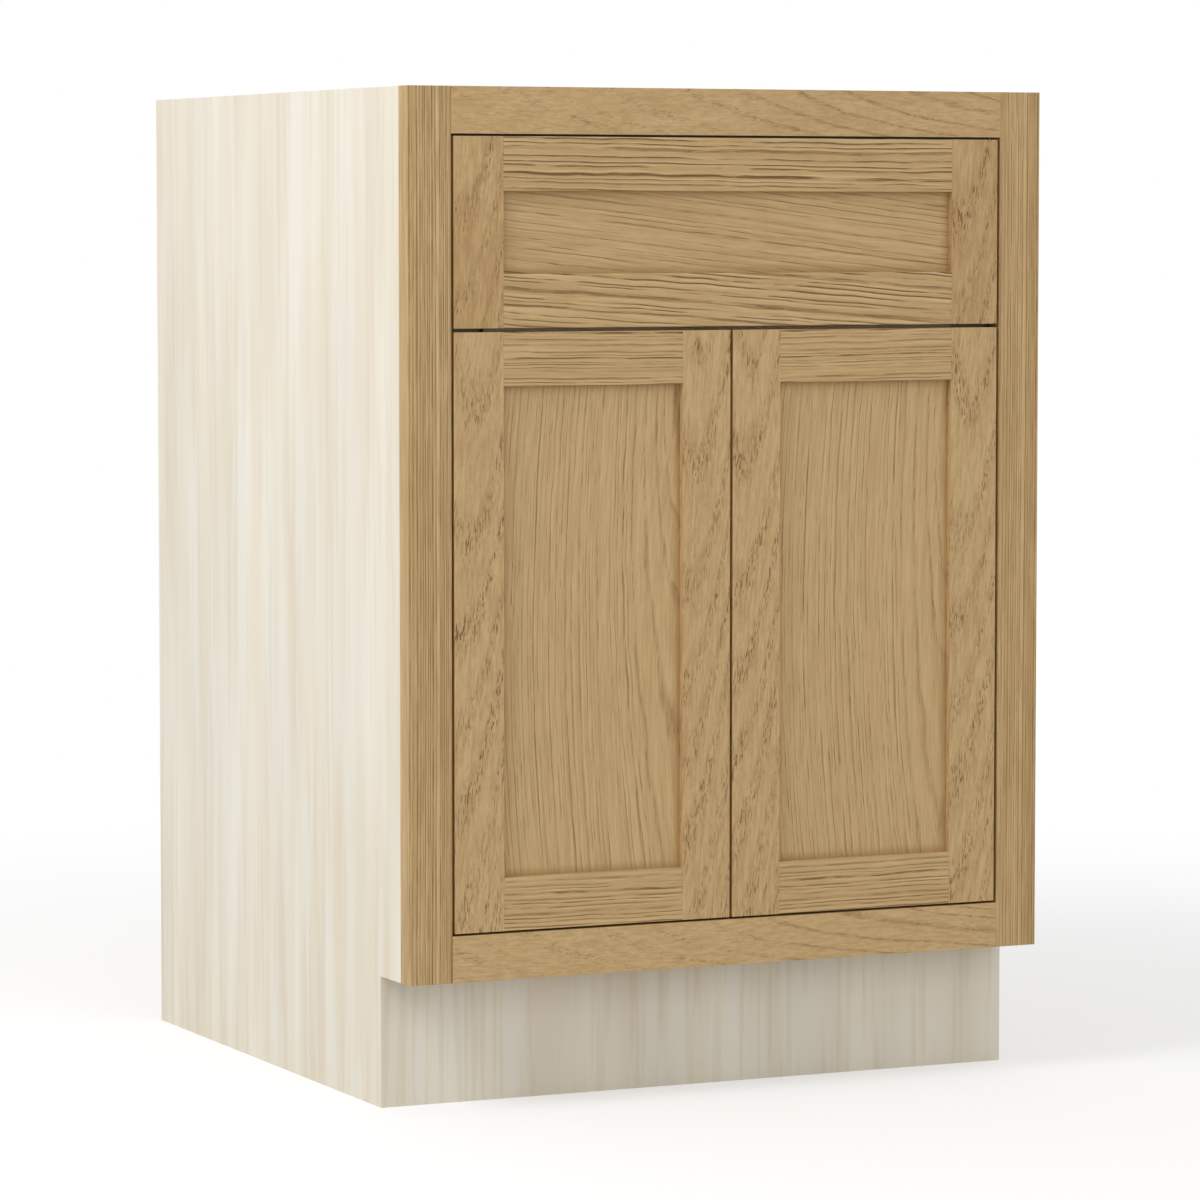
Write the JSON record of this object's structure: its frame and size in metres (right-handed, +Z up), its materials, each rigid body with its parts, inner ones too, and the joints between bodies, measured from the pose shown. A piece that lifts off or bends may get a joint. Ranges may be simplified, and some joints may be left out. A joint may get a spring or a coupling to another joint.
{
  "type": "kitchen base cabinet",
  "caption": "Framed kitchen base cabinet: an inset framed drawer over a pair of inset framed doors, with a recessed toe kick and an open top for a worktop.",
  "frame": {"origin": "on the floor, at the centre of the cabinet's footprint", "axes": "+Z up, +Y towards the wall behind, so the drawer and doors face -Y; +X to the right as seen from the front"},
  "size_m": [0.6096, 0.6096, 0.8763],
  "materials": {
    "oak": "satin lacquered oak",
    "pale_laminate": "satin pale wood-grain laminate",
    "case_plywood": "satin plywood",
    "drawer_birch": "satin birch",
    "zinc_steel": "zinc-plated",
    "nickel_steel": "nickel-plated",
    "grey_plastic": "moulded",
    "clear_bumper": "soft translucent"
  },
  "bodies": {
    "case": {"left_side_panel": "pale_laminate", "right_side_panel": "pale_laminate", "deck_panel": "case_plywood", "back_panel": "case_plywood", "hanging_rail": "case_plywood", "rear_base_rail": "case_plywood", "toe_kick_board": "case_plywood", "toe_kick_cover": "pale_laminate", "corner_braces": "case_plywood", "left_frame_stile": "oak", "right_frame_stile": "oak", "frame_top_rail": "oak", "frame_bottom_rail": "oak", "mid_rail": "case_plywood", "shelf": "case_plywood", "shelf_pins": "nickel_steel", "left_runner_channel": "zinc_steel", "right_runner_channel": "zinc_steel", "runner_rear_brackets": "grey_plastic", "runner_screws": "zinc_steel", "left_hinge_plates": "nickel_steel", "right_hinge_plates": "nickel_steel", "left_hinge_arms": "nickel_steel", "right_hinge_arms": "nickel_steel", "hinge_plate_screws": "nickel_steel"},
    "runner_middles": {"left_runner_middle": "zinc_steel", "right_runner_middle": "zinc_steel"},
    "drawer": {"left_drawer_front_stile": "oak", "right_drawer_front_stile": "oak", "drawer_front_top_rail": "oak", "drawer_front_bottom_rail": "oak", "drawer_front_panel": "oak", "left_drawer_side": "drawer_birch", "right_drawer_side": "drawer_birch", "drawer_box_front": "drawer_birch", "drawer_box_back": "drawer_birch", "drawer_bottom": "drawer_birch", "left_drawer_runner": "zinc_steel", "right_drawer_runner": "zinc_steel", "drawer_locking_clips": "grey_plastic", "drawer_front_screws": "zinc_steel"},
    "left_door": {"left_door_hinge_stile": "oak", "left_door_meeting_stile": "oak", "left_door_top_rail": "oak", "left_door_bottom_rail": "oak", "left_door_panel": "oak", "left_hinge_cups": "nickel_steel", "left_hinge_pins": "nickel_steel", "left_cup_screws": "nickel_steel", "left_door_bumper": "clear_bumper"},
    "right_door": {"right_door_hinge_stile": "oak", "right_door_meeting_stile": "oak", "right_door_top_rail": "oak", "right_door_bottom_rail": "oak", "right_door_panel": "oak", "right_hinge_cups": "nickel_steel", "right_hinge_pins": "nickel_steel", "right_cup_screws": "nickel_steel", "right_door_bumper": "clear_bumper"}
  },
  "joints": [
    {"name": "drawer_slide", "type": "slide", "parent": "case", "child": "drawer", "axis": [0, -1, 0], "range_m": [0, 0.5]},
    {"name": "runner_extend", "type": "slide", "parent": "case", "child": "runner_middles", "axis": [0, -1, 0], "range_m": [0, 0.25]},
    {"name": "left_door_swing", "type": "hinge", "parent": "case", "child": "left_door", "pos_m": [-0.2464, -0.29655, 0.4], "axis": [0, 0, -1], "range_deg": [0, 100]},
    {"name": "right_door_swing", "type": "hinge", "parent": "case", "child": "right_door", "pos_m": [0.2464, -0.29655, 0.4], "axis": [0, 0, 1], "range_deg": [0, 100]}
  ],
  "couplings": [
    {"joint": "runner_extend", "follows": "drawer_slide", "ratio": 0.5}
  ]
}
